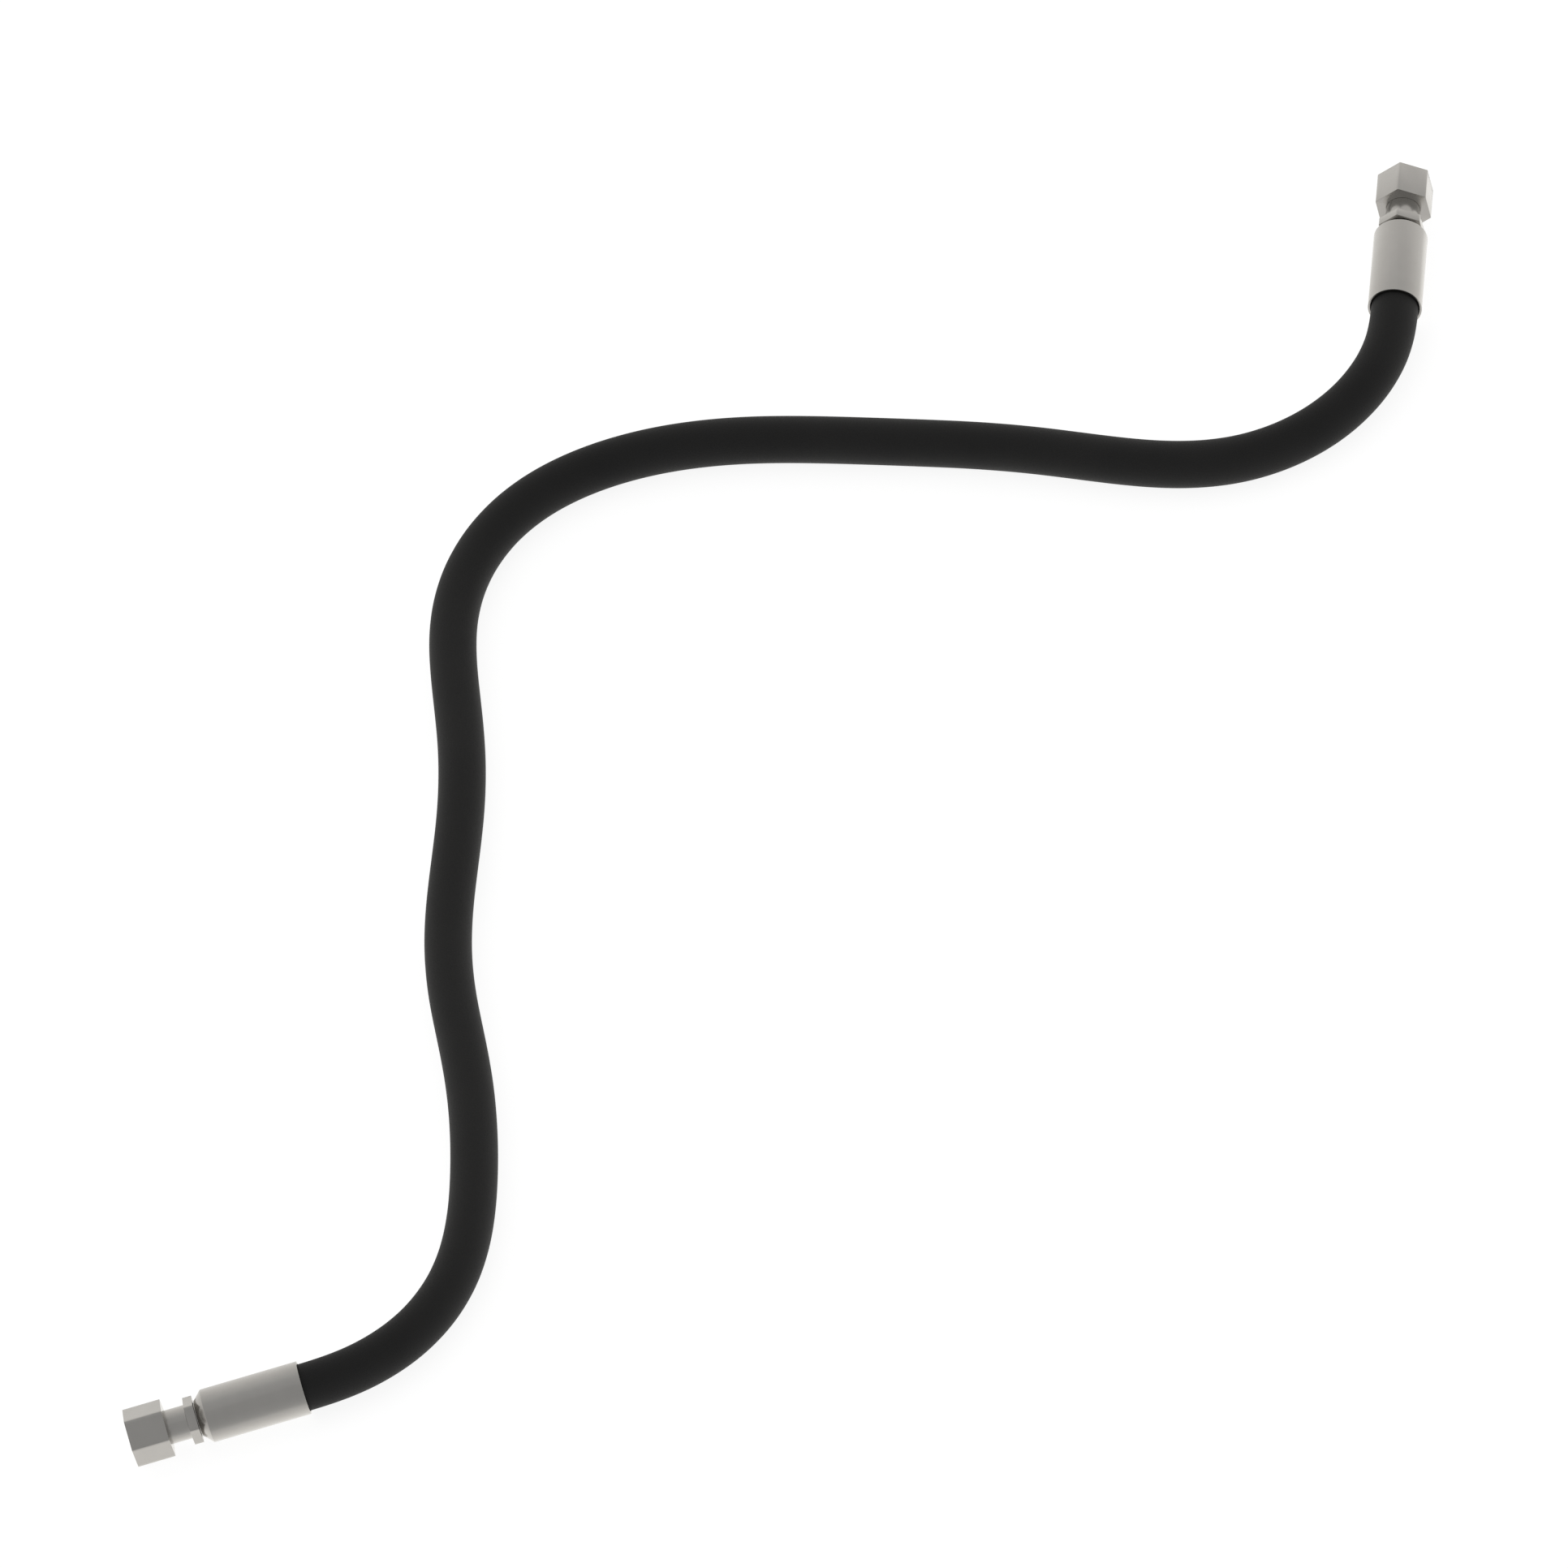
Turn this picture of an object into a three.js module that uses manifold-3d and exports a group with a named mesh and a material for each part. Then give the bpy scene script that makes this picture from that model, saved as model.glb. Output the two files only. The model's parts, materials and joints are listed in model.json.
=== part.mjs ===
// Hydraulic hose assembly: a 3/8 in one-wire-braid hose with a crimped swivel-nut fitting on each end.
// It lies on a flat surface. Millimetres, +Z up, origin at the middle of its underside's bounding box.

import * as THREE from "three";
import { NURBSCurve } from "three/addons/curves/NURBSCurve.js";
import { mergeVertices } from "three/addons/utils/BufferGeometryUtils.js";
import Module from "manifold-3d";

const wasm = await Module();
wasm.setup();

// ---- Driving dimensions ----

const inch = 25.4;
const nutAcrossFlats = (11 / 16) * inch; // hex of a -6 swivel nut, for a 9/16-18 thread
const stemAcrossFlats = (9 / 16) * inch;
const hoseRadius = 8.1;
const clearance = 0.3; // between neighbouring pieces

// Radii of the hose's three layers, from the bore outwards.
const innerTube = { inner: 4.75, outer: 5.95 };
const wireBraid = { inner: innerTube.outer + clearance, outer: 6.75 };
const hoseCover = { inner: wireBraid.outer + clearance, outer: hoseRadius };

// Stations along a fitting's axis, from the ferrule's mouth (0) out to the nut's open face.
const ferruleStraight = 34;
const ferruleChamfer = 3.1;
const ferruleFront = ferruleStraight + ferruleChamfer;
const hexBack = ferruleFront + clearance;
const hexFront = hexBack + 3.2;
const nutBack = hexFront + 7.4;
const nutFace = nutBack + 13.1;
const hoseInsertion = 28; // how far the hose reaches into the ferrule

// Radii about a fitting's axis.
const ferruleRadius = 9.25;
const ferruleMouthRadius = 8.45;
const neckRadius = 5.85;
const stemBore = 3.1;
const threadRadius = 6.55; // between the crests of the nut's internal thread

// Where each ferrule's mouth lies, which way its fitting points, and how far its hexes are turned
// from a corner straight up. A fitting rests on its nut's lowest corner.
const endA = { mouth: [-224.8, -189.2], heading: 173.5, turn: -11.1 };
const endB = { mouth: [257.6, 120.7], heading: 70.4, turn: 2.9 };

// Guide points of the hose between its straight ends, which it follows as one smooth curve.
const route = [
  [-183.5, -184, 9.4], [-165, -167, 8.8], [-153, -144.5, 8.4], [-145, -120.5, 8.2],
  [-139, -98, 8.1], [-134.5, -76, 8.1], [-131.5, -53.5, 8.1], [-129, -31.5, 8.1], [-124.5, -9, 8.1],
  [-117.5, 13, 8.1], [-109, 35, 8.1], [-101.5, 55.5, 8.1], [-95, 78, 8.1], [-90.5, 100, 8.1],
  [-86.5, 122, 8.1], [-81, 143.5, 8.1], [-71, 164, 8.1], [-55.5, 180.5, 8.1], [-36, 190, 8.1],
  [-13.5, 192, 8.1], [9.5, 188, 8.1], [31.5, 179.5, 8.1], [51, 169, 8.1], [70.5, 157, 8.1],
  [89.5, 145, 8.1], [109, 132.5, 8.1], [127.5, 119, 8.1], [145, 104.5, 8.1], [166.5, 88, 8.1],
  [190, 77.5, 8.2], [215, 77.5, 8.6], [236, 87, 9.3],
];
const guideSpacing = 23.1;

const hoseSides = 12;
const hoseSteps = 30;
const roundSides = 20;
const hexSides = 6;

// ---- Materials ----

function material(color, roughness, metalness) {
  return new THREE.MeshStandardMaterial({ color, roughness, metalness });
}

const rubber = material(0x222323, 0.75, 0);
const linerRubber = material(0x1b1b1b, 0.8, 0);
const braidSteel = material(0xa7a59d, 0.4, 0.9);
const platedSteel = material(0xb7b4ae, 0.38, 0.85);
const springSteel = material(0x8d8f92, 0.35, 0.9);

// ---- Geometry helpers ----

function radians(degrees) {
  return (degrees * Math.PI) / 180;
}

function toSolid(geometry) {
  const bare = geometry.clone();
  bare.deleteAttribute("normal");
  bare.deleteAttribute("uv");
  const merged = mergeVertices(bare);
  const mesh = new wasm.Mesh({
    numProp: 3,
    vertProperties: merged.getAttribute("position").array,
    triVerts: merged.index.array,
  });
  return new wasm.Manifold(mesh);
}

function toGeometry(solid) {
  const mesh = solid.getMesh();
  const geometry = new THREE.BufferGeometry();
  geometry.setAttribute("position", new THREE.BufferAttribute(mesh.vertProperties, 3));
  geometry.setIndex(new THREE.BufferAttribute(mesh.triVerts, 1));
  geometry.computeVertexNormals();
  return geometry;
}

// A solid turned about the Y axis from [radius, station] points that run up outside and down inside.
function turned(profile, sides = roundSides) {
  const points = profile.map(([radius, station]) => new THREE.Vector2(radius, station));
  return new THREE.LatheGeometry(points, sides);
}

function hexPrism(acrossFlats, back, front, turn) {
  const corner = cornerRadius(acrossFlats);
  const prism = turned([[0, back], [corner, back], [corner, front], [0, front]], hexSides);
  return prism.rotateY(radians(turn));
}

function cornerRadius(acrossFlats) {
  return acrossFlats / 2 / Math.cos(Math.PI / hexSides);
}

// ---- The hose ----

function restHeight(end) {
  return cornerRadius(nutAcrossFlats) * Math.cos(radians(end.turn));
}

// The point at a station along an end's fitting axis.
function onAxis(end, station) {
  const heading = radians(end.heading);
  const x = end.mouth[0] + station * Math.cos(heading);
  const y = end.mouth[1] + station * Math.sin(heading);
  return [x, y, restHeight(end)];
}

// Four guide points on an end's axis keep the hose straight inside its ferrule.
function straightEnd(end) {
  const offsets = [0, guideSpacing / 3, guideSpacing, 2 * guideSpacing];
  return offsets.map((offset) => onAxis(end, hoseInsertion - offset));
}

function hosePath() {
  const guides = [...straightEnd(endA), ...route, ...straightEnd(endB).reverse()];
  const degree = 3;
  const spans = guides.length - degree;
  const knots = [];
  for (let i = -degree; i <= spans + degree; i++) {
    knots.push(Math.min(Math.max(i / spans, 0), 1));
  }
  return new NURBSCurve(degree, knots, guides.map(([x, y, z]) => new THREE.Vector4(x, y, z, 1)));
}

function polygon(radius, Kind) {
  const corners = [];
  for (let i = 0; i < hoseSides; i++) {
    const angle = (i / hoseSides) * 2 * Math.PI;
    corners.push(new THREE.Vector2(radius * Math.cos(angle), radius * Math.sin(angle)));
  }
  return new Kind(corners);
}

function hoseLayer(path, { inner, outer }) {
  const section = polygon(outer, THREE.Shape);
  section.holes.push(polygon(inner, THREE.Path));
  return new THREE.ExtrudeGeometry(section, {
    steps: hoseSteps,
    extrudePath: path,
    bevelEnabled: false,
  });
}

// ---- The fittings, each along its own Y axis with station 0 at the ferrule's mouth ----

const ribs = 4;
const ribPitch = 5.5;
const firstRib = 5;
const ribRadius = 7.8;
const ribGroove = 8.3;

// The bore of a crimped ferrule, from the front of its grip back to its mouth, grown by an offset.
function gripProfile(offset) {
  const profile = [[ribRadius + offset, firstRib + ribs * ribPitch]];
  for (let i = ribs - 1; i >= 0; i--) {
    const start = firstRib + i * ribPitch;
    profile.push([ribRadius + offset, start + 4], [ribGroove + offset, start + 3.5]);
    profile.push([ribGroove + offset, start + 1.5], [ribRadius + offset, start + 1]);
  }
  profile.push([ribRadius + offset, 3.4], [ferruleMouthRadius + offset, 2]);
  return profile;
}

// The stem's locking collar sits between these stations, and the ferrule's lip in a groove of it.
const collarBack = hoseInsertion + 1.2;
const lip = { back: collarBack + 2, front: collarBack + 4.2, radius: 5.65 };
const collarFront = lip.front + 2;
const collarRadius = 6.4;

function ferruleGeometry() {
  const collarBore = collarRadius + clearance;
  const profile = [
    [ferruleRadius, 0],
    [ferruleRadius, ferruleStraight],
    [ferruleRadius - ferruleChamfer, ferruleFront],
    [lip.radius, ferruleFront],
    [lip.radius, collarFront + clearance],
    [collarBore, collarFront + clearance],
    [collarBore, lip.front],
    [lip.radius, lip.front],
    [lip.radius, lip.back],
    [collarBore, lip.back],
    [collarBore, collarBack - 0.5],
    [ribRadius, collarBack - 0.5],
    ...gripProfile(0),
    [ferruleMouthRadius, 0],
    [ferruleRadius, 0],
  ];
  return turned(profile);
}

// The crimp presses the hose's cover down to this shape inside the ferrule.
function crimpSolid() {
  const beyond = ferruleRadius + 1;
  const top = hoseInsertion + 2;
  const grip = gripProfile(-clearance);
  const start = [beyond, 1];
  const inner = [ribRadius - clearance, top];
  return toSolid(turned([start, [beyond, top], inner, ...grip, start], hoseSides));
}

const barbs = 6;
const barbPitch = 4.1;
const barbRadius = 4.3;
const barbValley = 3.9;
const tailEnd = 2;
const wireGroove = { back: nutBack + 1.1, front: nutBack + 2.8, stem: 5.2, nut: 6.9 };
const noseBack = nutBack + 3.9;
const noseFront = nutBack + 7;
const noseRadius = 6.1;
const seatRadius = 5.5;
const seatAngle = 37;
const neckFillet = 0.4;

// Sawtooth rings on the stem's tail, steep towards the fitting, that hold the inner tube.
function barbProfile() {
  const profile = [[barbValley, tailEnd]];
  for (let i = 0; i < barbs; i++) {
    const start = tailEnd + 0.6 + i * barbPitch;
    profile.push([barbRadius, start + 2.6], [barbRadius, start + 3.2], [barbValley, start + 3.5]);
  }
  return profile;
}

// A quarter round from the hex's front face down into the neck.
function filletProfile() {
  const points = [];
  for (let i = 0; i <= 3; i++) {
    const angle = radians(i * 30);
    const radius = neckRadius + neckFillet * (1 - Math.sin(angle));
    points.push([radius, hexFront + neckFillet * (1 - Math.cos(angle))]);
  }
  return points;
}

function stemGeometry(turn) {
  const seatDepth = (seatRadius - stemBore) / Math.tan(radians(seatAngle));
  const profile = [
    [stemBore, tailEnd],
    ...barbProfile(),
    [barbValley, collarBack],
    [collarRadius, collarBack],
    [collarRadius, lip.back - clearance],
    [lip.radius - clearance, lip.back - clearance],
    [lip.radius - clearance, lip.front + clearance],
    [collarRadius, lip.front + clearance],
    [collarRadius, collarFront],
    [lip.radius - clearance, collarFront],
    [lip.radius - clearance, hexFront - 1],
    [neckRadius + neckFillet, hexFront - 1],
    ...filletProfile(),
    [neckRadius, wireGroove.back],
    [wireGroove.stem, wireGroove.back],
    [wireGroove.stem, wireGroove.front],
    [neckRadius, wireGroove.front],
    [neckRadius, noseBack],
    [noseRadius, noseBack + 0.4],
    [noseRadius, noseFront],
    [seatRadius, noseFront],
    [stemBore, noseFront - seatDepth],
    [stemBore, tailEnd],
  ];
  const bore = turned([[0, 0], [stemBore + 0.1, 0], [stemBore + 0.1, nutBack], [0, nutBack]]);
  const hex = toSolid(hexPrism(stemAcrossFlats, hexBack, hexFront, turn)).subtract(toSolid(bore));
  return toGeometry(toSolid(turned(profile)).add(hex));
}

function nutGeometry(turn) {
  const lead = 0.7; // chamfer at the mouth of the thread
  const rearBore = neckRadius + clearance + 0.05;
  const socketBack = noseBack - 0.3;
  const past = 1;
  const bore = turned([
    [0, nutBack - past],
    [rearBore, nutBack - past],
    [rearBore, wireGroove.back],
    [wireGroove.nut, wireGroove.back],
    [wireGroove.nut, wireGroove.front],
    [rearBore, wireGroove.front],
    [rearBore, socketBack],
    [threadRadius, socketBack],
    [threadRadius, nutFace - lead],
    [threadRadius + lead + past, nutFace + past],
    [0, nutFace + past],
  ]);
  const prism = toSolid(hexPrism(nutAcrossFlats, nutBack, nutFace, turn));
  return toGeometry(prism.subtract(toSolid(bore)));
}

function retainingWireGeometry() {
  const wireRadius = 0.55;
  const wireSides = 8;
  const ringRadius = (wireGroove.stem + wireGroove.nut) / 2;
  const station = (wireGroove.back + wireGroove.front) / 2;
  return new THREE.TorusGeometry(ringRadius, wireRadius, wireSides, roundSides)
    .rotateX(Math.PI / 2)
    .translate(0, station, 0);
}

// ---- Assembly ----

function addPiece(group, name, geometry, pieceMaterial) {
  const mesh = new THREE.Mesh(geometry, pieceMaterial);
  mesh.name = name;
  group.add(mesh);
}

// Puts a fitting's own frame, Y out along its axis and Z up, at its end of the hose.
function placeAt(end, object) {
  const [x, y, z] = onAxis(end, 0);
  object.position.set(x, y, z);
  object.rotation.z = radians(end.heading - 90);
  object.updateMatrixWorld();
  return object;
}

function fitting(end, suffix) {
  const group = placeAt(end, new THREE.Group());
  addPiece(group, `stem_${suffix}`, stemGeometry(end.turn), platedSteel);
  addPiece(group, `ferrule_${suffix}`, ferruleGeometry(), platedSteel);
  addPiece(group, `swivel_nut_${suffix}`, nutGeometry(end.turn), platedSteel);
  addPiece(group, `retaining_wire_${suffix}`, retainingWireGeometry(), springSteel);
  return group;
}

function crimped(cover) {
  let solid = toSolid(cover);
  for (const end of [endA, endB]) {
    const frame = placeAt(end, new THREE.Object3D());
    solid = solid.subtract(crimpSolid().transform(frame.matrixWorld.toArray()));
  }
  return toGeometry(solid);
}

const assembly = new THREE.Group();
const path = hosePath();
addPiece(assembly, "hose_cover", crimped(hoseLayer(path, hoseCover)), rubber);
addPiece(assembly, "wire_braid", hoseLayer(path, wireBraid), braidSteel);
addPiece(assembly, "inner_tube", hoseLayer(path, innerTube), linerRubber);
assembly.add(fitting(endA, "a"), fitting(endB, "b"));

export default assembly;
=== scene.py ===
"""How the hydraulic hose assembly looks: a rubber hose with a plated swivel fitting on each end."""

import json
import math

import bmesh
import bpy
from mathutils import Matrix, Vector


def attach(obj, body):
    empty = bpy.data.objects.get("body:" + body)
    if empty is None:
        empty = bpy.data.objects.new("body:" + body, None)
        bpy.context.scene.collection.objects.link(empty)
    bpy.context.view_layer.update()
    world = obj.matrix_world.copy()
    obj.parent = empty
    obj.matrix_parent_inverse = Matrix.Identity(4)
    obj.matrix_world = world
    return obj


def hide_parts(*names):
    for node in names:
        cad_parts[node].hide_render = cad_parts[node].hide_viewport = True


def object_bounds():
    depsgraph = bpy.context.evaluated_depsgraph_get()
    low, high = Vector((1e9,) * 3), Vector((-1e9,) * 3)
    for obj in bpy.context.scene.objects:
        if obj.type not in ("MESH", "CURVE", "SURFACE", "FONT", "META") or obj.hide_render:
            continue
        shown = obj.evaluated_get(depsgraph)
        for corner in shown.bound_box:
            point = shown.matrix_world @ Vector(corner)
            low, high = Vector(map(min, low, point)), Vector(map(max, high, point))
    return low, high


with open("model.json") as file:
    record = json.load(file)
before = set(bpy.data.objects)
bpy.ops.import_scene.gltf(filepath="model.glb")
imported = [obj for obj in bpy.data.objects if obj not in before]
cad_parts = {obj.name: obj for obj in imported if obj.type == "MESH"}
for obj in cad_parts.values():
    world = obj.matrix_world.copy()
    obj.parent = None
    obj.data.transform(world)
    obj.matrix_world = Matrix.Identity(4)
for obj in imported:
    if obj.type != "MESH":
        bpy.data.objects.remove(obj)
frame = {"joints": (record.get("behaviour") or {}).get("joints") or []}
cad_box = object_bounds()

MM = 0.001
TURN = 2 * math.pi
UP = Vector((0, 0, 1))

# ---- Dimensions shared with the CAD part, in metres ----

NUT_ACROSS_FLATS = 17.4625 * MM
STEM_ACROSS_FLATS = 14.2875 * MM
CLEARANCE = 0.3 * MM  # between neighbouring pieces

# The hose's layers. The liner and the braid each have an inner and an outer radius.
HOSE_RADIUS = 8.1 * MM
LINER = (4.75 * MM, 5.95 * MM)
BRAID = (LINER[1] + CLEARANCE, 6.75 * MM)
COVER_BORE = BRAID[1] + CLEARANCE

HOSE_INSERTION = 28 * MM  # how far the hose reaches into each ferrule
GUIDE_SPACING = 23.1 * MM

# Stations along a fitting's axis, from the ferrule's mouth (0) out to the nut's open face. A pair is
# a back and a front.
TAIL_END = 2 * MM
FERRULE_STRAIGHT = 34 * MM
FERRULE_CHAMFER = 3.1 * MM
FERRULE_FRONT = FERRULE_STRAIGHT + FERRULE_CHAMFER
HEX_BACK = FERRULE_FRONT + CLEARANCE
HEX_FRONT = HEX_BACK + 3.2 * MM
NUT_BACK = HEX_FRONT + 7.4 * MM
NUT_FACE = NUT_BACK + 13.1 * MM
WIRE_GROOVE = (NUT_BACK + 1.1 * MM, NUT_BACK + 2.8 * MM)
NOSE_BACK = NUT_BACK + 3.9 * MM
NOSE_FRONT = NUT_BACK + 7 * MM
SOCKET_BACK = NOSE_BACK - CLEARANCE
COLLAR_BACK = HOSE_INSERTION + 1.2 * MM
LIP = (COLLAR_BACK + 2 * MM, COLLAR_BACK + 4.2 * MM)
COLLAR_FRONT = LIP[1] + 2 * MM

# Radii about a fitting's axis.
FERRULE_RADIUS = 9.25 * MM
FERRULE_MOUTH = 8.45 * MM
RIB_RADIUS = 7.8 * MM
RIB_GROOVE = 8.3 * MM
COLLAR_RADIUS = 6.4 * MM
LIP_RADIUS = 5.65 * MM
NECK_RADIUS = 5.85 * MM
NECK_FILLET = 0.4 * MM
NOSE_RADIUS = 6.1 * MM
NOSE_CHAMFER = 0.4 * MM
SEAT_RADIUS = 5.5 * MM
SEAT_ANGLE = math.radians(37)
STEM_BORE = 3.1 * MM
BARB_RADIUS = 4.3 * MM
BARB_VALLEY = 3.9 * MM
GROOVE_IN_STEM = 5.2 * MM
GROOVE_IN_NUT = 6.9 * MM

# The ferrule's bore: its taper from the mouth, the front of its ribbed grip, and the grooves between
# the ribs. A groove's four steps are where it starts to sink, is deepest, starts to rise and is over.
MOUTH_TAPER = (2 * MM, 3.4 * MM)
GRIP_FRONT = COLLAR_BACK - 0.5 * MM
RIBS = 4
RIB_PITCH = 5.5 * MM
FIRST_RIB = 5 * MM
RIB_STEPS = (1 * MM, 1.5 * MM, 3.5 * MM, 4 * MM)

# The stem's tail. A barb's three steps are where its slope ends, its flat ends and its steep back ends.
BARBS = 6
BARB_PITCH = 4.1 * MM
FIRST_BARB = TAIL_END + 0.6 * MM
BARB_STEPS = (2.6 * MM, 3.2 * MM, 3.5 * MM)

HEX_TURNS = {"a": -11.1, "b": 2.9}  # degrees from a corner straight up

# Guide points of the hose between its straight ends.
ROUTE = [
    (-0.1835, -0.184, 0.0094), (-0.165, -0.167, 0.0088), (-0.153, -0.1445, 0.0084),
    (-0.145, -0.1205, 0.0082), (-0.139, -0.098, 0.0081), (-0.1345, -0.076, 0.0081),
    (-0.1315, -0.0535, 0.0081), (-0.129, -0.0315, 0.0081), (-0.1245, -0.009, 0.0081),
    (-0.1175, 0.013, 0.0081), (-0.109, 0.035, 0.0081), (-0.1015, 0.0555, 0.0081),
    (-0.095, 0.078, 0.0081), (-0.0905, 0.1, 0.0081), (-0.0865, 0.122, 0.0081),
    (-0.081, 0.1435, 0.0081), (-0.071, 0.164, 0.0081), (-0.0555, 0.1805, 0.0081),
    (-0.036, 0.19, 0.0081), (-0.0135, 0.192, 0.0081), (0.0095, 0.188, 0.0081),
    (0.0315, 0.1795, 0.0081), (0.051, 0.169, 0.0081), (0.0705, 0.157, 0.0081),
    (0.0895, 0.145, 0.0081), (0.109, 0.1325, 0.0081), (0.1275, 0.119, 0.0081),
    (0.145, 0.1045, 0.0081), (0.1665, 0.088, 0.0081), (0.19, 0.0775, 0.0082),
    (0.215, 0.0775, 0.0086), (0.236, 0.087, 0.0093),
]


def fitting_frame(suffix):
    """A fitting's own frame at its ferrule's mouth: Y out along its axis, Z up."""
    joint = next(j for j in frame["joints"] if j["name"] == f"nut_{suffix}_swivel")
    outward = Vector(joint["axis"]).normalized()
    nut_middle = (NUT_BACK + NUT_FACE) / 2
    mouth = Vector(joint["pos_m"]) - nut_middle * outward
    turn = Matrix((outward.cross(UP), outward, UP)).transposed()
    return Matrix.Translation(mouth) @ turn.to_4x4()


FITTINGS = {suffix: fitting_frame(suffix) for suffix in "ab"}

# ---- Camera ----

VIEW_AZIMUTH = math.radians(-2.2)  # from straight along +Y
VIEW_ELEVATION = math.radians(42.7)
VIEW_ROLL = math.radians(19.3)
VIEW_WIDTH = 0.5325  # metres of the world that the picture's width takes in
VIEW_OFFSET = Vector((0.0026, 0.0061, 0))  # of the picture's middle from the assembly's
LENS = 1200  # a very long lens, because the picture shows no perspective
SENSOR = 36  # like LENS, in the millimetres that Blender takes


def view_direction():
    """The direction from the assembly towards the camera."""
    level = math.cos(VIEW_ELEVATION)
    across = math.sin(VIEW_AZIMUTH) * level
    return Vector((across, -math.cos(VIEW_AZIMUTH) * level, math.sin(VIEW_ELEVATION)))


def add_camera():
    """A camera far off, aimed at the assembly's middle and rolled as the picture is."""
    data = bpy.data.cameras.new("camera")
    data.lens = LENS
    data.sensor_width = SENSOR
    distance = VIEW_WIDTH * LENS / SENSOR
    data.clip_start = distance / 2
    data.clip_end = distance * 4
    back = view_direction()
    level_right = Vector((math.cos(VIEW_AZIMUTH), math.sin(VIEW_AZIMUTH), 0))
    level_up = back.cross(level_right)
    right = level_right * math.cos(VIEW_ROLL) - level_up * math.sin(VIEW_ROLL)
    up = back.cross(right)
    low, high = (Vector(corner) for corner in cad_box)
    target = (low + high) / 2 + VIEW_OFFSET
    camera = bpy.data.objects.new("camera", data)
    turn = Matrix((right, up, back)).transposed().to_4x4()
    camera.matrix_world = Matrix.Translation(target + back * distance) @ turn
    bpy.context.scene.collection.objects.link(camera)
    bpy.context.scene.camera = camera


# ---- Mesh helpers ----

SHARP_ANGLE = math.radians(32)  # between faces that meet in a sharp edge and not a smooth one


def add_piece(name, mesh):
    piece = bpy.data.objects.new(name, mesh)
    bpy.context.scene.collection.objects.link(piece)
    return piece


def loft(name, rings, rows):
    """A closed skin over rings of points, the last joined to the first.

    Its UVs hold each ring's row, a length in metres, and how far round the ring a point is, from 0 to 1.
    """
    bm = bmesh.new()
    uv = bm.loops.layers.uv.new("wrap")
    verts = [[bm.verts.new(point) for point in ring] for ring in rings]
    around = len(rings[0])
    for i in range(len(rings)):
        following = (i + 1) % len(rings)
        for j in range(around):
            k = (j + 1) % around
            face = bm.faces.new((verts[i][j], verts[i][k], verts[following][k], verts[following][j]))
            face.smooth = True
            turns = (j / around, (j + 1) / around, (j + 1) / around, j / around)
            row_values = (rows[i], rows[i], rows[following], rows[following])
            for loop, row, turn in zip(face.loops, row_values, turns):
                loop[uv].uv = (row, turn)
    bmesh.ops.recalc_face_normals(bm, faces=bm.faces)
    for edge in bm.edges:
        edge.smooth = edge.calc_face_angle(0) < SHARP_ANGLE
    mesh = bpy.data.meshes.new(name)
    bm.to_mesh(mesh)
    bm.free()
    return add_piece(name, mesh)


# A turned piece has even points between six corners, and a close pair beside each corner, so that
# a hex keeps a narrow broken edge there.
CORNERS = 6
CORNER_ANGLE = TURN / CORNERS
CORNER_GAP = math.radians(0.9)
SIDE_STEPS = 13
EDGE_BREAK = 0.07 * MM


def ring_angles():
    """The angles of a turned ring's points, from one of its corners."""
    angles = []
    step = (CORNER_ANGLE - 2 * CORNER_GAP) / SIDE_STEPS
    for corner in range(CORNERS):
        start = corner * CORNER_ANGLE
        angles.append(start)
        angles += [start + CORNER_GAP + step * i for i in range(SIDE_STEPS + 1)]
    return angles


ANGLES = ring_angles()


def hex_reach(apothem, angle):
    """How far a hex's side is from its axis at an angle from one of its corners."""
    from_middle = angle % CORNER_ANGLE - CORNER_ANGLE / 2
    corner = apothem / math.cos(CORNER_ANGLE / 2) - EDGE_BREAK
    return min(apothem / math.cos(from_middle), corner)


def turned_ring(radius, station, hexness=0, cut=None):
    """A ring about the Y axis: a circle, or a hex where hexness is 1. cut(angle) widens it."""
    ring = []
    for angle in ANGLES:
        reach = radius + hexness * (hex_reach(radius, angle) - radius)
        if cut:
            reach += cut(angle)
        ring.append(Vector((reach * math.sin(angle), station, reach * math.cos(angle))))
    return ring


def step_towards(point, other, size):
    """A point on the way to another: size away, but always short of halfway."""
    way = other - point
    length = Vector((way.x, way.y)).length
    return point + way * min(0.45, size / length) if length > 0 else point


def softened(outline, size, steps=3):
    """Rounds the corners of a closed outline of (radius, station, hexness) points."""
    points = [Vector((*point, 0)[:3]) for point in outline]
    rounded = []
    for i, corner in enumerate(points):
        before = step_towards(corner, points[i - 1], size)
        after = step_towards(corner, points[(i + 1) % len(points)], size)
        for k in range(steps + 1):
            t = k / steps
            rounded.append(before.lerp(corner, t).lerp(corner.lerp(after, t), t))
    return rounded


def turned(name, outline):
    """A piece turned about the Y axis from its closed outline."""
    rings = [turned_ring(*point) for point in outline]
    return loft(name, rings, [point[1] for point in outline])


# ---- The hose ----

PATH_STEP = 1.5 * MM
FINE_SAMPLES = 4000
HOSE_SIDES = 48
CRIMPED_RADIUS = 7.5 * MM
CRIMP_RELEASE = (6 * MM, 1.5 * MM)  # how far inside the mouth the cover starts and stops widening


def spline_point(guides, t):
    """A clamped cubic B-spline's point at t from 0 to 1, by de Boor's method."""
    degree = 3
    spans = len(guides) - degree
    knots = [min(max(i, 0), spans) for i in range(-degree, spans + degree + 1)]
    position = t * spans
    span = min(int(position), spans - 1) + degree
    points = [guides[span - degree + j].copy() for j in range(degree + 1)]
    for level in range(1, degree + 1):
        for j in range(degree, level - 1, -1):
            low = knots[span - degree + j]
            high = knots[span + 1 + j - level]
            points[j] = points[j - 1].lerp(points[j], (position - low) / (high - low))
    return points[degree]


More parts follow.
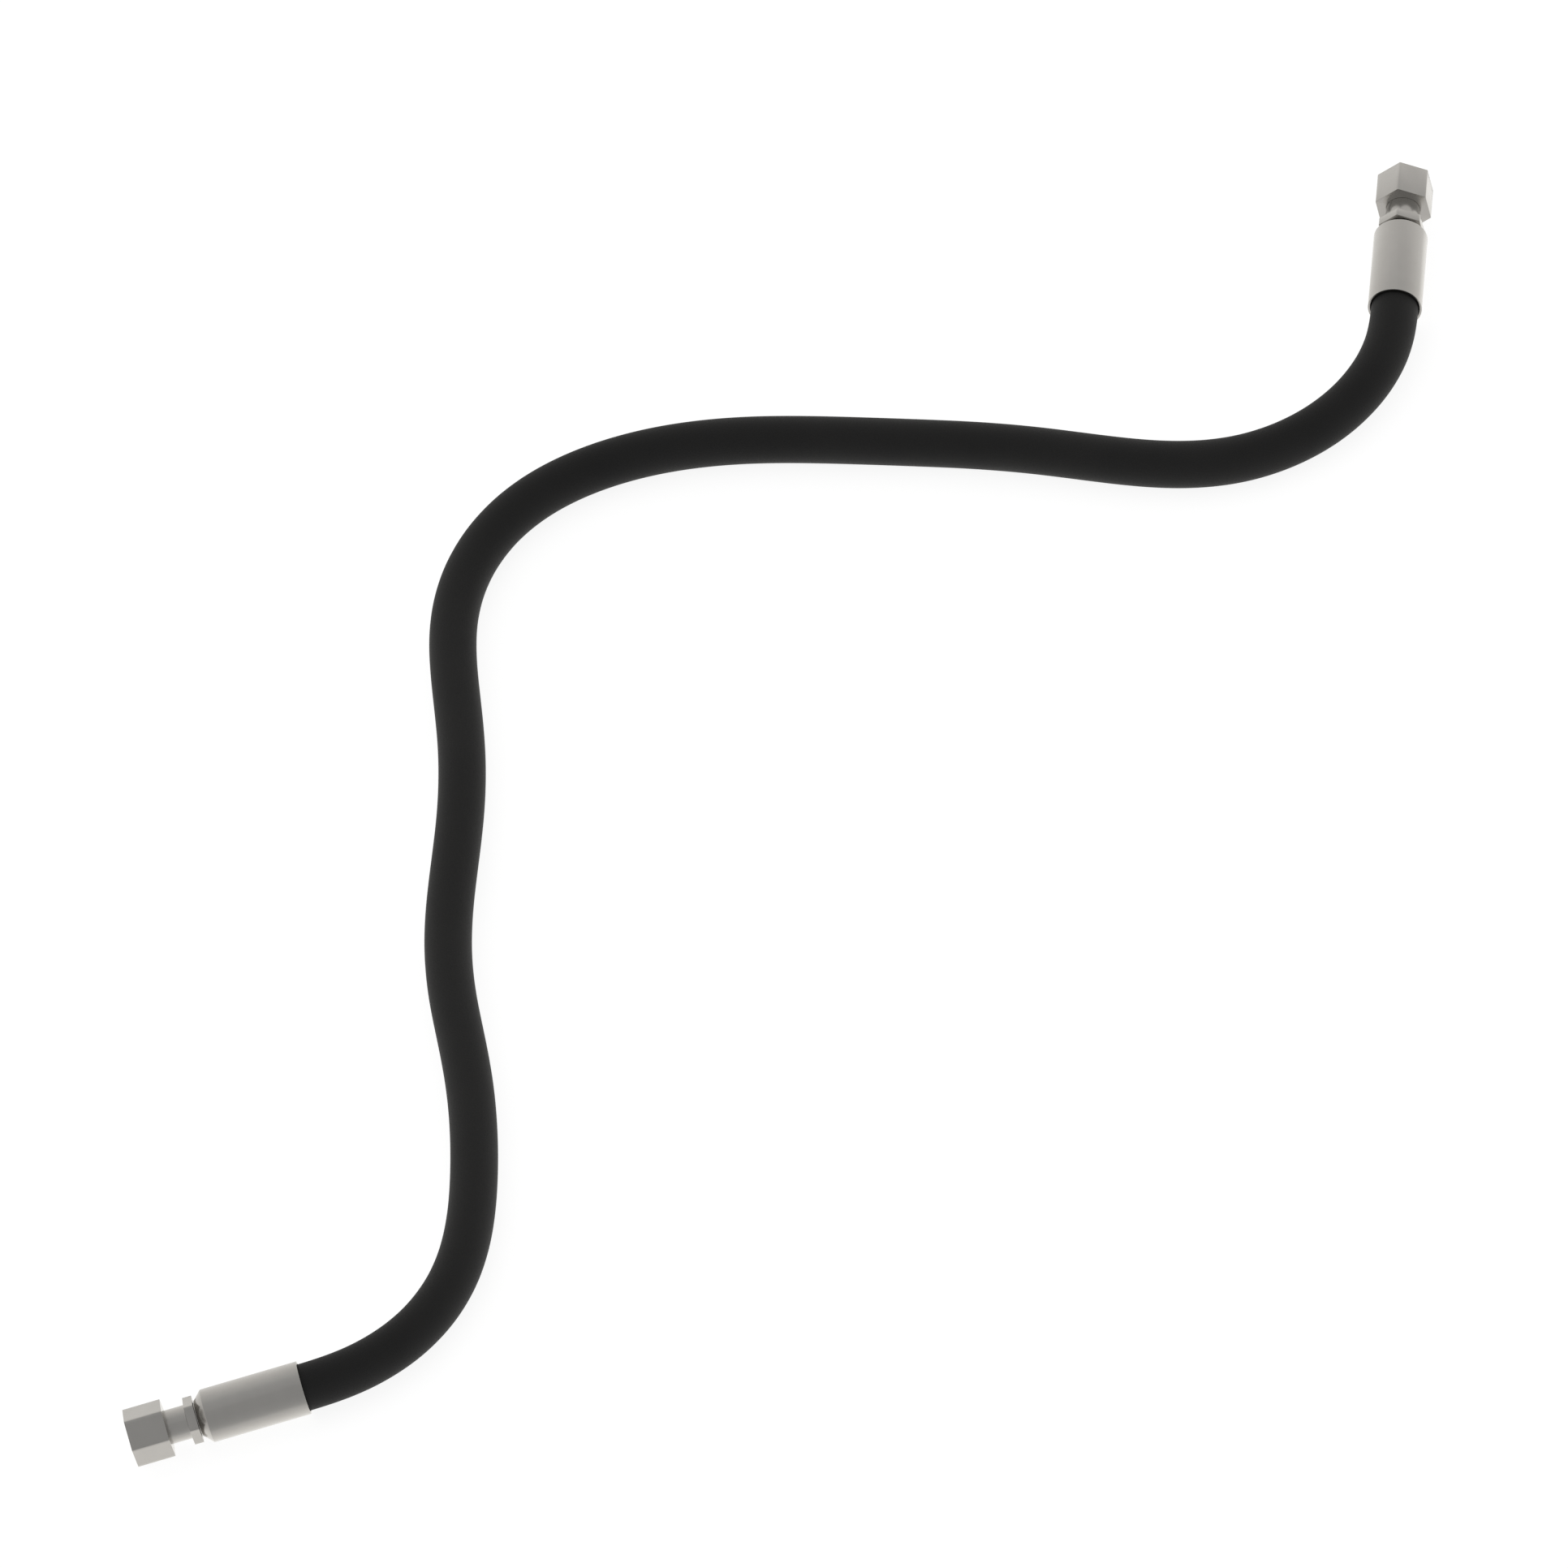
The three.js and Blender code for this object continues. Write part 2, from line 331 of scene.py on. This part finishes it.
def straight_end(suffix):
    """Guide points on a fitting's axis, which keep the hose straight inside its ferrule."""
    offsets = [0, GUIDE_SPACING / 3, GUIDE_SPACING, 2 * GUIDE_SPACING]
    return [FITTINGS[suffix] @ Vector((0, HOSE_INSERTION - offset, 0)) for offset in offsets]


def hose_path():
    """The hose's centreline as points a step apart, from inside ferrule a to inside ferrule b."""
    guides = straight_end("a") + [Vector(point) for point in ROUTE] + straight_end("b")[::-1]
    fine = [spline_point(guides, i / FINE_SAMPLES) for i in range(FINE_SAMPLES + 1)]
    path = [fine[0]]
    travelled = 0
    for before, after in zip(fine, fine[1:]):
        travelled += (after - before).length
        if travelled >= PATH_STEP:
            path.append(after)
            travelled = 0
    return path


def tube_ring(path, i, radius):
    """A circle square to a path at its point i."""
    ahead = path[min(i + 1, len(path) - 1)]
    behind = path[max(i - 1, 0)]
    along = (ahead - behind).normalized()
    side = along.cross(UP).normalized()
    over = side.cross(along)
    angles = [TURN * j / HOSE_SIDES for j in range(HOSE_SIDES)]
    return [path[i] + radius * (side * math.sin(angle) + over * math.cos(angle)) for angle in angles]


def tube(name, path, inner, outer_at):
    """A pipe along a path. outer_at gives its outer radius at a distance from the nearer end."""
    lengths = [0.0]
    for before, after in zip(path, path[1:]):
        lengths.append(lengths[-1] + (after - before).length)
    outer_rings = [tube_ring(path, i, outer_at(min(s, lengths[-1] - s))) for i, s in enumerate(lengths)]
    inner_rings = [tube_ring(path, i, inner) for i in range(len(path))]
    return loft(name, outer_rings + inner_rings[::-1], lengths + lengths[::-1])


def smooth_step(low, high, value):
    """Rises from 0 at low to 1 at high, level at both ends."""
    t = min(max((value - low) / (high - low), 0), 1)
    return t * t * (3 - 2 * t)


def cover_radius(distance):
    """The crimp squeezes the cover inside a ferrule and lets go of it at the mouth."""
    start, stop = (HOSE_INSERTION - inside for inside in CRIMP_RELEASE)
    released = smooth_step(start, stop, distance)
    return CRIMPED_RADIUS + (HOSE_RADIUS - CRIMPED_RADIUS) * released


# ---- The fittings' outlines: (radius, station, hexness) up the outside and down the inside ----

NUT_CLEARANCE = 0.03 * MM  # round the neck, so that the nut turns
FERRULE_ROUNDING = 0.15 * MM  # how far the rounding of its edges reaches
MACHINED_ROUNDING = 0.06 * MM  # the same for the stem and the nut


def ferrule_outline():
    """The shell with its lip and ribs. The lip sits in a groove of the stem's collar."""
    front = COLLAR_FRONT + CLEARANCE
    collar_bore = COLLAR_RADIUS + CLEARANCE
    outline = [
        (FERRULE_RADIUS, 0), (FERRULE_RADIUS, FERRULE_STRAIGHT),
        (FERRULE_RADIUS - FERRULE_CHAMFER, FERRULE_FRONT), (LIP_RADIUS, FERRULE_FRONT),
        (LIP_RADIUS, front), (collar_bore, front), (collar_bore, LIP[1]), (LIP_RADIUS, LIP[1]),
        (LIP_RADIUS, LIP[0]), (collar_bore, LIP[0]), (collar_bore, GRIP_FRONT), (RIB_RADIUS, GRIP_FRONT),
    ]
    for rib in reversed(range(RIBS)):
        start = FIRST_RIB + rib * RIB_PITCH
        sinks, deepest, rises, over = (start + step for step in RIB_STEPS)
        outline += [(RIB_RADIUS, over), (RIB_GROOVE, rises), (RIB_GROOVE, deepest), (RIB_RADIUS, sinks)]
    taper_back, taper_front = MOUTH_TAPER
    return outline + [(RIB_RADIUS, taper_front), (FERRULE_MOUTH, taper_back), (FERRULE_MOUTH, 0)]


def barb_outline():
    """Sawtooth rings on the stem's tail, steep towards the fitting, that hold the inner tube."""
    outline = [(STEM_BORE, TAIL_END), (BARB_VALLEY, TAIL_END)]
    for barb in range(BARBS):
        start = FIRST_BARB + barb * BARB_PITCH
        top, edge, foot = (start + step for step in BARB_STEPS)
        outline += [(BARB_RADIUS, top), (BARB_RADIUS, edge), (BARB_VALLEY, foot)]
    return outline


def neck_fillet():
    """A quarter round from the hex's front face down into the neck."""
    steps = 7
    outline = []
    for i in range(steps + 1):
        angle = TURN / 4 * i / steps
        radius = NECK_RADIUS + NECK_FILLET * (1 - math.sin(angle))
        outline.append((radius, HEX_FRONT + NECK_FILLET * (1 - math.cos(angle)), 0))
    return outline[1:]


def stem_outline():
    """The stem from its tail out to its nose, and back down its cone-shaped seat to the bore."""
    groove = LIP_RADIUS - CLEARANCE
    apothem = STEM_ACROSS_FLATS / 2
    seat_depth = (SEAT_RADIUS - STEM_BORE) / math.tan(SEAT_ANGLE)
    return [
        *barb_outline(), (BARB_VALLEY, COLLAR_BACK), (COLLAR_RADIUS, COLLAR_BACK),
        (COLLAR_RADIUS, LIP[0] - CLEARANCE), (groove, LIP[0] - CLEARANCE), (groove, LIP[1] + CLEARANCE),
        (COLLAR_RADIUS, LIP[1] + CLEARANCE), (COLLAR_RADIUS, COLLAR_FRONT), (groove, COLLAR_FRONT),
        (groove, HEX_BACK), (apothem, HEX_BACK, 1), (apothem, HEX_FRONT, 1), *neck_fillet(),
        (NECK_RADIUS, WIRE_GROOVE[0]), (GROOVE_IN_STEM, WIRE_GROOVE[0]),
        (GROOVE_IN_STEM, WIRE_GROOVE[1]), (NECK_RADIUS, WIRE_GROOVE[1]),
        (NECK_RADIUS, NOSE_BACK), (NOSE_RADIUS, NOSE_BACK + NOSE_CHAMFER),
        (NOSE_RADIUS, NOSE_FRONT), (SEAT_RADIUS, NOSE_FRONT), (STEM_BORE, NOSE_FRONT - seat_depth),
    ]


# The nut's internal thread, 9/16-18.
THREAD_PITCH = 25.4 / 18 * MM
THREAD_CREST = 6.5 * MM
THREAD_DEPTH = 0.62 * MM
FLANK_SLOPE = 1.45  # shares of the depth that a flank sinks in half a pitch
FLANK_START = 0.2  # how much of that the flat crest takes away
THREAD_ROWS_PER_TURN = 12
THREAD_LEAD = 0.7 * MM  # chamfer at its mouth
PLAIN_LEAD = 0.35 * MM  # the outermost part of the chamfer, which has no thread


def nut_outline():
    """The nut's hex and its bore as far as the thread, which thread_rings continues."""
    apothem = NUT_ACROSS_FLATS / 2
    rear_bore = NECK_RADIUS + NUT_CLEARANCE
    return [
        (THREAD_CREST + THREAD_LEAD, NUT_FACE), (apothem, NUT_FACE, 1), (apothem, NUT_BACK, 1),
        (rear_bore, NUT_BACK), (rear_bore, WIRE_GROOVE[0]), (GROOVE_IN_NUT, WIRE_GROOVE[0]),
        (GROOVE_IN_NUT, WIRE_GROOVE[1]), (rear_bore, WIRE_GROOVE[1]), (rear_bore, SOCKET_BACK),
        (THREAD_CREST, SOCKET_BACK),
    ]


def thread_cut(station, share):
    """The depth of a right-hand thread round one ring: flat crests and roots with sloping flanks."""
    def cut(angle):
        phase = (station / THREAD_PITCH - angle / TURN) % 1
        rise = 1 - abs(2 * phase - 1)
        return THREAD_DEPTH * share * min(max(FLANK_SLOPE * rise - FLANK_START, 0), 1)

    return cut


def thread_rings():
    """The threaded bore's rings, from the socket's back out to the chamfer at its mouth."""
    start = SOCKET_BACK + CLEARANCE
    end = NUT_FACE - PLAIN_LEAD
    rows = round((end - start) / THREAD_PITCH * THREAD_ROWS_PER_TURN)
    stations = [start + (end - start) * i / rows for i in range(rows + 1)]
    rings = []
    for station in stations:
        share = smooth_step(start, start + THREAD_PITCH, station)
        flare = max(0, station - (NUT_FACE - THREAD_LEAD))
        rings.append(turned_ring(THREAD_CREST + flare, station, 0, thread_cut(station, share)))
    return rings, stations


def threaded_nut(name):
    """The nut as one closed skin: its hex, its plain rear bore and its threaded bore."""
    outline = softened(nut_outline(), MACHINED_ROUNDING)
    rings, stations = thread_rings()
    plain_rings = [turned_ring(*point) for point in outline]
    return loft(name, plain_rings + rings, [point[1] for point in outline] + stations)


def wire_ring(name):
    """The round wire that lies half in the stem's groove and half in the nut's."""
    steps = 16
    wire_radius = 0.55 * MM
    ring_radius = (GROOVE_IN_STEM + GROOVE_IN_NUT) / 2
    station = sum(WIRE_GROOVE) / 2
    angles = [TURN * i / steps for i in range(steps)]
    return turned(name, [
        (ring_radius + wire_radius * math.cos(angle), station + wire_radius * math.sin(angle))
        for angle in angles
    ])


# ---- Materials ----


def new_material(name):
    material = bpy.data.materials.new(name)
    material.use_nodes = True
    return material, material.node_tree, material.node_tree.nodes["Principled BSDF"]


def add_node(tree, kind, inputs, **settings):
    """A node with its settings, and each input either linked to a socket or set to a value."""
    node = tree.nodes.new(kind)
    for key, value in settings.items():
        setattr(node, key, value)
    for key, value in inputs.items():
        if isinstance(value, bpy.types.NodeSocket):
            tree.links.new(value, node.inputs[key])
        else:
            node.inputs[key].default_value = value
    return node


def noise(tree, cells, detail=2.0):
    """Noise in the piece's own coordinates, with so many cells a metre along X, Y and Z."""
    place = add_node(tree, "ShaderNodeTexCoord", {})
    mapping = add_node(tree, "ShaderNodeMapping", {"Vector": place.outputs["Object"], "Scale": cells})
    inputs = {"Vector": mapping.outputs["Vector"], "Scale": 1.0, "Detail": detail}
    return add_node(tree, "ShaderNodeTexNoise", inputs).outputs["Fac"]


def ramp(tree, value, stops):
    """A colour for each value from 0 to 1, blended between stops of (value, red, green, blue)."""
    node = add_node(tree, "ShaderNodeValToRGB", {"Fac": value})
    elements = node.color_ramp.elements
    for i, (position, *colour) in enumerate(stops):
        element = elements[i] if i < 2 else elements.new(position)
        element.position = position
        element.color = (*colour, 1)
    return node.outputs["Color"]


def spread(tree, value, low, high):
    """Stretches noise, which stays near its middle, over a range."""
    inputs = {"Value": value, "From Min": 0.3, "From Max": 0.7, "To Min": low, "To Max": high}
    return add_node(tree, "ShaderNodeMapRange", inputs).outputs["Result"]


def bump(tree, height, distance, strength, under=None):
    """A surface raised by a height, on top of the bumps of under where that is given."""
    inputs = {"Height": height, "Distance": distance, "Strength": strength}
    if under:
        inputs["Normal"] = under
    return add_node(tree, "ShaderNodeBump", inputs).outputs["Normal"]


def compute(tree, operation, first, second=0.0):
    return add_node(tree, "ShaderNodeMath", {0: first, 1: second}, operation=operation).outputs["Value"]


def helix(tree, starts, pitch):
    """A wave that winds round a tube with so many starts, its crests a pitch apart along the tube.

    Negative starts wind the other way.
    """
    uv = add_node(tree, "ShaderNodeUVMap", {}, uv_map="wrap")
    split = add_node(tree, "ShaderNodeSeparateXYZ", {"Vector": uv.outputs["UV"]})
    around = compute(tree, "MULTIPLY", split.outputs["Y"], TURN * starts)
    along = compute(tree, "MULTIPLY", split.outputs["X"], TURN / pitch)
    return compute(tree, "SINE", compute(tree, "ADD", around, along))


def crossed(tree, operation, starts, pitch):
    """Two helices that wind opposite ways round a tube, combined by an operation."""
    return compute(tree, operation, helix(tree, starts, pitch), helix(tree, -starts, pitch))


def rubber_material():
    """Matt black cover with the faint weave that its curing wrap leaves, and a little bloom."""
    material, tree, shader = new_material("hose_rubber")
    stops = [(0.35, 0.0115, 0.0115, 0.0114), (0.7, 0.0143, 0.0142, 0.0139)]
    bloom = ramp(tree, noise(tree, (45, 45, 45), detail=5), stops)
    grain = noise(tree, (2600, 2600, 2600))
    wrap = crossed(tree, "MULTIPLY", starts=44, pitch=1.15 * MM)
    tree.links.new(bloom, shader.inputs["Base Color"])
    tree.links.new(spread(tree, grain, 0.62, 0.74), shader.inputs["Roughness"])
    weave = bump(tree, wrap, distance=0.03 * MM, strength=0.35)
    normal = bump(tree, grain, distance=0.05 * MM, strength=0.3, under=weave)
    tree.links.new(normal, shader.inputs["Normal"])
    shader.inputs["Specular IOR Level"].default_value = 0.27
    return material


def liner_material():
    """Plain darker rubber for the tube that the oil runs in."""
    material, tree, shader = new_material("liner_rubber")
    grain = noise(tree, (1500, 1500, 1500))
    colour = ramp(tree, grain, [(0.3, 0.006, 0.006, 0.006), (0.7, 0.011, 0.011, 0.011)])
    normal = bump(tree, grain, distance=0.04 * MM, strength=0.3)
    tree.links.new(colour, shader.inputs["Base Color"])
    tree.links.new(normal, shader.inputs["Normal"])
    shader.inputs["Roughness"].default_value = 0.7
    return material


def braid_material():
    """Bundles of bright wire that wind both ways round the hose and cross, with painted shade darkening
    their sides and the gaps between them.
    """
    material, tree, shader = new_material("braid_wire")
    bundles = crossed(tree, "MAXIMUM", starts=18, pitch=3.2 * MM)
    wires = crossed(tree, "MULTIPLY", starts=108, pitch=0.53 * MM)
    # Painted shade: the colour darkens where the bundles' waves sink, down their sides and in the gaps
    # between them, just as the ridges' bump sinks.
    colour = ramp(tree, bundles, [(0.1, 0.08, 0.075, 0.07), (0.8, 0.52, 0.5, 0.46)])
    tree.links.new(colour, shader.inputs["Base Color"])
    ridges = bump(tree, bundles, distance=0.25 * MM, strength=0.8)
    normal = bump(tree, wires, distance=0.06 * MM, strength=0.5, under=ridges)
    tree.links.new(normal, shader.inputs["Normal"])
    shader.inputs["Metallic"].default_value = 1.0
    shader.inputs["Roughness"].default_value = 0.35
    return material


def plated_material(name, lines):
    """Satin zinc-nickel plating over fine tool lines, with so many lines a metre along X, Y and Z."""
    material, tree, shader = new_material(name)
    clouds = noise(tree, (160, 160, 160), detail=4)
    speckle = noise(tree, (4200, 4200, 4200))
    colour = ramp(tree, clouds, [(0.3, 0.5, 0.487, 0.465), (0.7, 0.52, 0.507, 0.485)])
    tree.links.new(colour, shader.inputs["Base Color"])
    tree.links.new(spread(tree, speckle, 0.2, 0.27), shader.inputs["Roughness"])
    tool_lines = bump(tree, noise(tree, lines), distance=0.012 * MM, strength=0.1)
    normal = bump(tree, speckle, distance=0.008 * MM, strength=0.07, under=tool_lines)
    tree.links.new(normal, shader.inputs["Normal"])
    shader.inputs["Metallic"].default_value = 1.0
    return material


def wire_material():
    """Bare spring steel, darker than the plating."""
    material, tree, shader = new_material("spring_wire")
    grain = noise(tree, (900, 900, 900))
    colour = ramp(tree, grain, [(0.3, 0.2, 0.2, 0.21), (0.7, 0.34, 0.34, 0.35)])
    tree.links.new(colour, shader.inputs["Base Color"])
    tree.links.new(spread(tree, grain, 0.28, 0.42), shader.inputs["Roughness"])
    shader.inputs["Metallic"].default_value = 1.0
    return material


# ---- Pieces ----


def settle(piece, node, body, material):
    """Gives a piece its finish, and lets it stand for a CAD node and ride on a body."""
    piece.data.materials.append(material)
    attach(piece, body)
    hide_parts(node)


def make_fitting(suffix, turned_steel, drawn_steel, wire_steel):
    """A ferrule, stem, retaining wire and swivel nut in their places, with the two hexes in line."""
    place = FITTINGS[suffix]
    hex_turn = Matrix.Rotation(math.radians(HEX_TURNS[suffix]), 4, "Y")
    ferrule = turned(f"ferrule_shell_{suffix}", softened(ferrule_outline(), FERRULE_ROUNDING))
    stem = turned(f"stem_body_{suffix}", softened(stem_outline(), MACHINED_ROUNDING))
    wire = wire_ring(f"wire_ring_{suffix}")
    nut = threaded_nut(f"nut_{suffix}")
    for piece in (stem, nut):
        piece.data.transform(hex_turn)
    for piece in (ferrule, stem, wire, nut):
        piece.matrix_world = place
    settle(ferrule, f"ferrule_{suffix}", "hose", turned_steel)
    settle(stem, f"stem_{suffix}", "hose", turned_steel)
    settle(wire, f"retaining_wire_{suffix}", "hose", wire_steel)
    settle(nut, f"swivel_nut_{suffix}", f"nut_{suffix}", drawn_steel)
    return [ferrule, stem, wire, nut]


def make_hose(path):
    """The hose's three layers, from the outside in."""
    cover = tube("cover_tube", path, COVER_BORE, cover_radius)
    braid = tube("braid_tube", path, BRAID[0], lambda distance: BRAID[1])
    liner = tube("liner_tube", path, LINER[0], lambda distance: LINER[1])
    settle(cover, "hose_cover", "hose", rubber_material())
    settle(braid, "wire_braid", "hose", braid_material())
    settle(liner, "inner_tube", "hose", liner_material())
    return cover, braid, liner


# ---- Floor and light ----

FLOOR_REACH = 60  # metres each way, so that its edges stay out of sight

# How bright the room is, from opposite the camera (0) round to behind it (1).
ROOM = [
    (0.1, 0.97, 0.96, 0.94), (0.34, 0.8, 0.79, 0.77), (0.5, 0.65, 0.64, 0.63),
    (0.64, 0.57, 0.57, 0.56), (0.8, 0.46, 0.46, 0.46), (0.95, 0.42, 0.42, 0.42),
]

# The room is brighter underneath. The boost blends in between these heights of a direction, of which
# -1 is straight down and 0 level.
LOW_BOOST = 1.25
BOOST_FULL = -0.58
BOOST_START = -0.42

OVERHEAD_STRENGTH = 0.05
OVERHEAD_SPREAD = math.radians(80)
OVERHEAD_TILT = (math.radians(-12), math.radians(-10), 0)


def add_floor():
    """A floor that is white mostly by its own glow, as a light table is, so that shadows stay faint.

    The metal mirrors the room and not the floor, which would whiten its lower sides.
    """
    signs = [(-1, -1), (1, -1), (1, 1), (-1, 1)]
    corners = [(x * FLOOR_REACH, y * FLOOR_REACH, 0) for x, y in signs]
    mesh = bpy.data.meshes.new("floor")
    mesh.from_pydata(corners, [], [(0, 1, 2, 3)])
    material, _, shader = new_material("floor")
    shader.inputs["Base Color"].default_value = (0.3, 0.3, 0.3, 1)
    shader.inputs["Roughness"].default_value = 0.9
    shader.inputs["Specular IOR Level"].default_value = 0.0
    shader.inputs["Emission Color"].default_value = (1, 1, 1, 1)
    shader.inputs["Emission Strength"].default_value = 0.88
    mesh.materials.append(material)
    floor = add_piece("floor", mesh)
    floor.visible_glossy = False


def add_light():
    """A pale room, dim where the camera stands and brighter underneath, and a wide light from above."""
    world = bpy.data.worlds.new("studio")
    bpy.context.scene.world = world
    world.use_nodes = True
    tree = world.node_tree
    background = tree.nodes["Background"]
    place = add_node(tree, "ShaderNodeTexCoord", {})
    facing = add_node(tree, "ShaderNodeVectorMath", {
        0: place.outputs["Generated"], 1: view_direction(),
    }, operation="DOT_PRODUCT")
    share = add_node(tree, "ShaderNodeMapRange", {
        "Value": facing.outputs["Value"], "From Min": -1.0, "From Max": 1.0,
    }).outputs["Result"]
    height = add_node(tree, "ShaderNodeSeparateXYZ", {"Vector": place.outputs["Generated"]})
    strength = add_node(tree, "ShaderNodeMapRange", {
        "Value": height.outputs["Z"],
        "From Min": BOOST_FULL, "From Max": BOOST_START, "To Min": LOW_BOOST, "To Max": 1.0,
    }).outputs["Result"]
    tree.links.new(ramp(tree, share, ROOM), background.inputs["Color"])
    tree.links.new(strength, background.inputs["Strength"])
    data = bpy.data.lights.new("soft_overhead", "SUN")
    data.energy = OVERHEAD_STRENGTH
    data.angle = OVERHEAD_SPREAD
    overhead = bpy.data.objects.new("soft_overhead", data)
    overhead.rotation_euler = OVERHEAD_TILT
    bpy.context.scene.collection.objects.link(overhead)


# ---- The assembly ----

add_camera()
bpy.context.scene.view_settings.view_transform = "Standard"

centreline = hose_path()
hose, hose_braid, hose_liner = make_hose(centreline)
turned_finish = plated_material("turned_steel", (60, 3200, 60))
drawn_finish = plated_material("drawn_steel", (1800, 40, 1800))
wire_finish = wire_material()
fitting_pieces = []
for suffix in FITTINGS:
    fitting_pieces += make_fitting(suffix, turned_finish, drawn_finish, wire_finish)

add_floor()
add_light()
